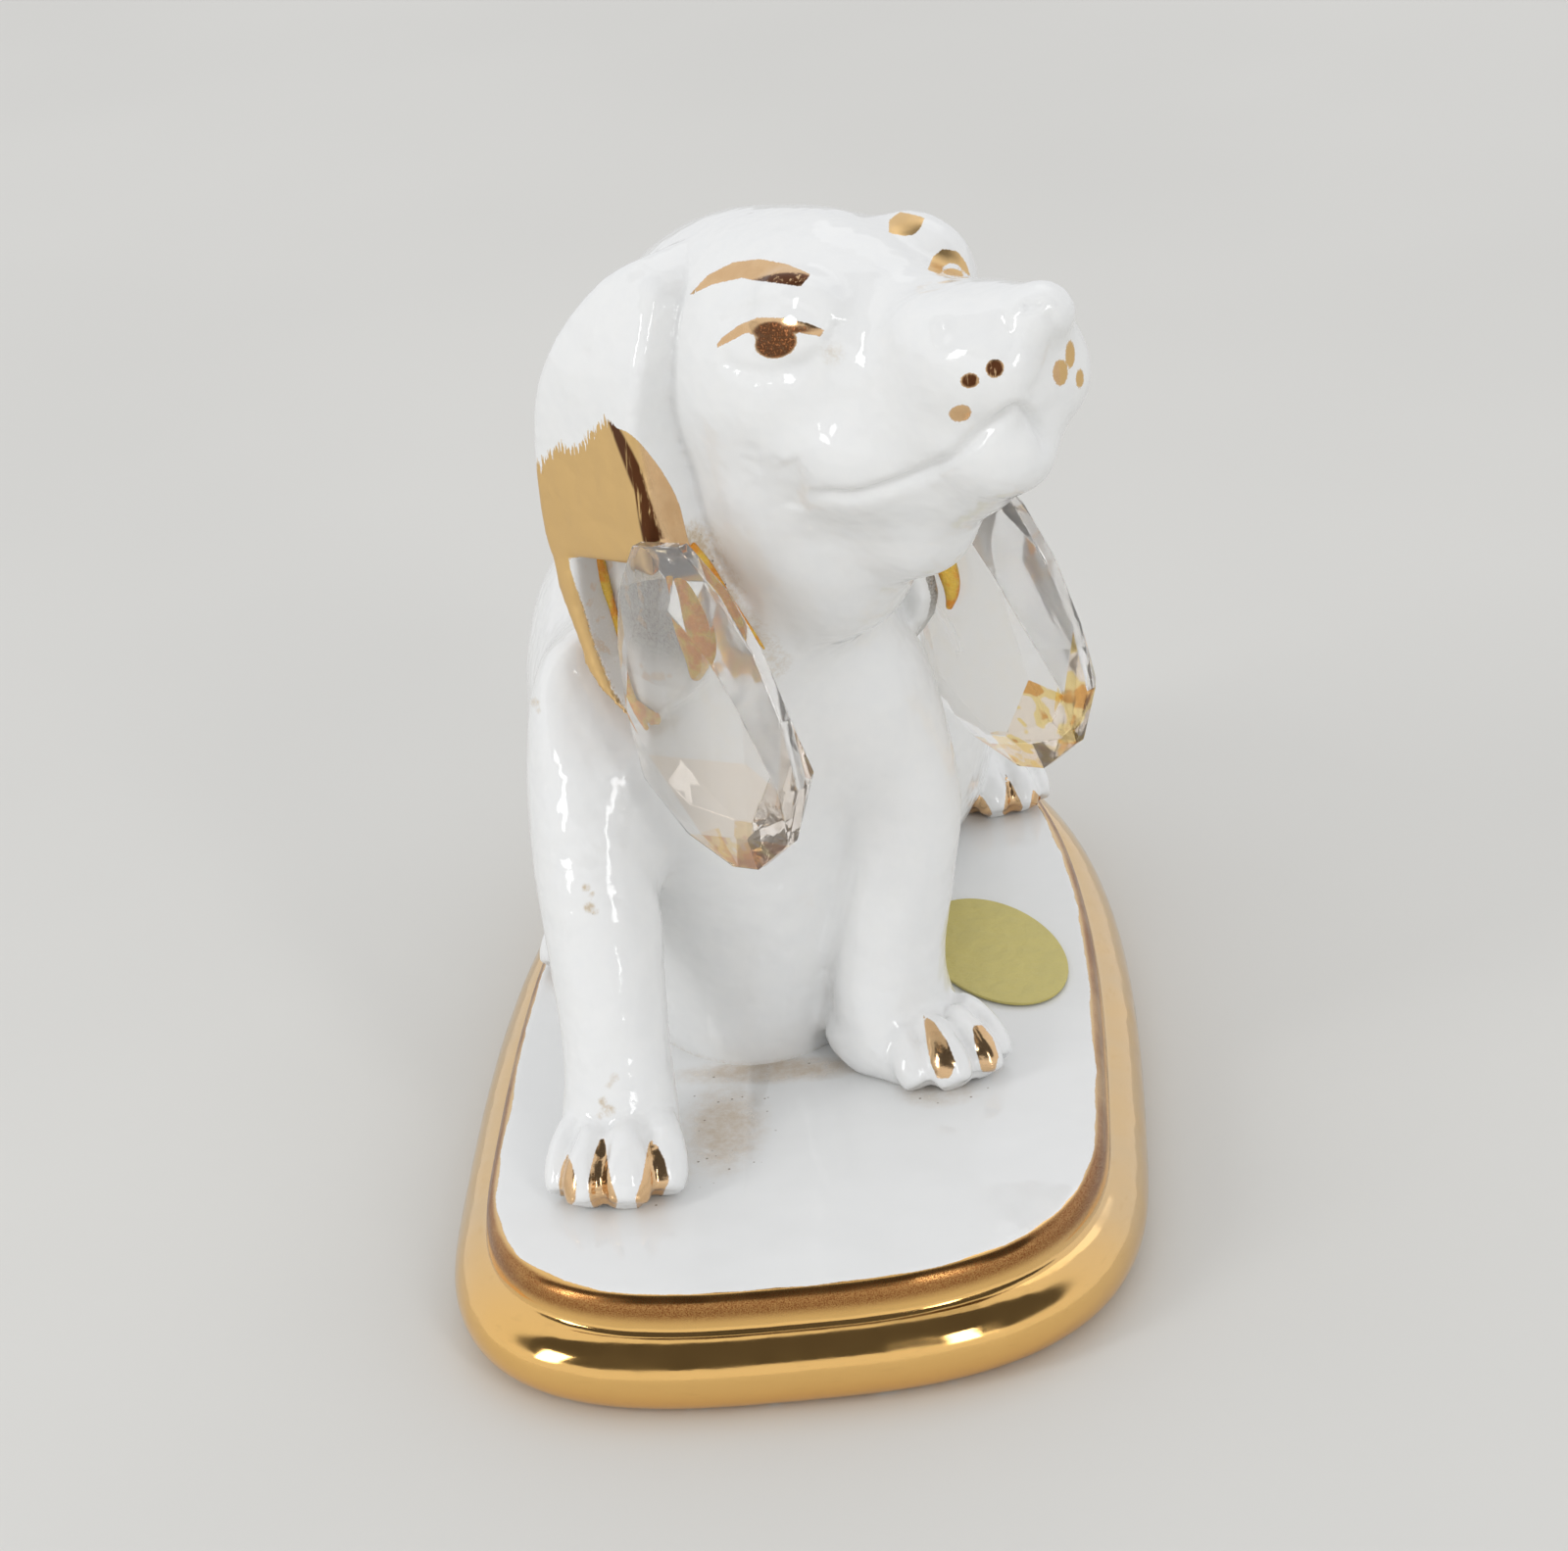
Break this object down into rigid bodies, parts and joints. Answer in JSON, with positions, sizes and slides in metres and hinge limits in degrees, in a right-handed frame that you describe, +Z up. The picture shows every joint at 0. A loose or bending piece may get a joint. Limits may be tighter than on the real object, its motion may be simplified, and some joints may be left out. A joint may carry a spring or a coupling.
{
  "type": "porcelain dog figurine",
  "caption": "Seated white porcelain dog on an oblong gilt-edged plinth, head turned aside, with clear cut-glass drops cemented under its gold-dipped ears",
  "frame": {"origin": "centre of the plinth's foot, on the surface it stands on", "axes": "+Z up, +X the dog's left, -Y the end of the plinth that the forepaws stand at; the plinth is longest along Y"},
  "size_m": [0.0928, 0.1658, 0.139],
  "materials": {
    "glaze": "glossy white glaze",
    "gold": "fired gold lustre over glossy glaze",
    "crystal": "clear, cut and polished",
    "cement": "aged amber cement",
    "paper": "matt metallic paper"
  },
  "bodies": {
    "root": {"plinth": "gold", "torso": "glaze", "head": "glaze", "ear_right": "gold", "ear_left": "gold", "foreleg_right": "glaze", "foreleg_left": "glaze", "hind_leg_right": "glaze", "hind_leg_left": "glaze", "tail": "glaze", "crystal_right": "crystal", "crystal_left": "crystal", "cement_right": "cement", "cement_left": "cement", "label": "paper"}
  },
  "joints": []
}
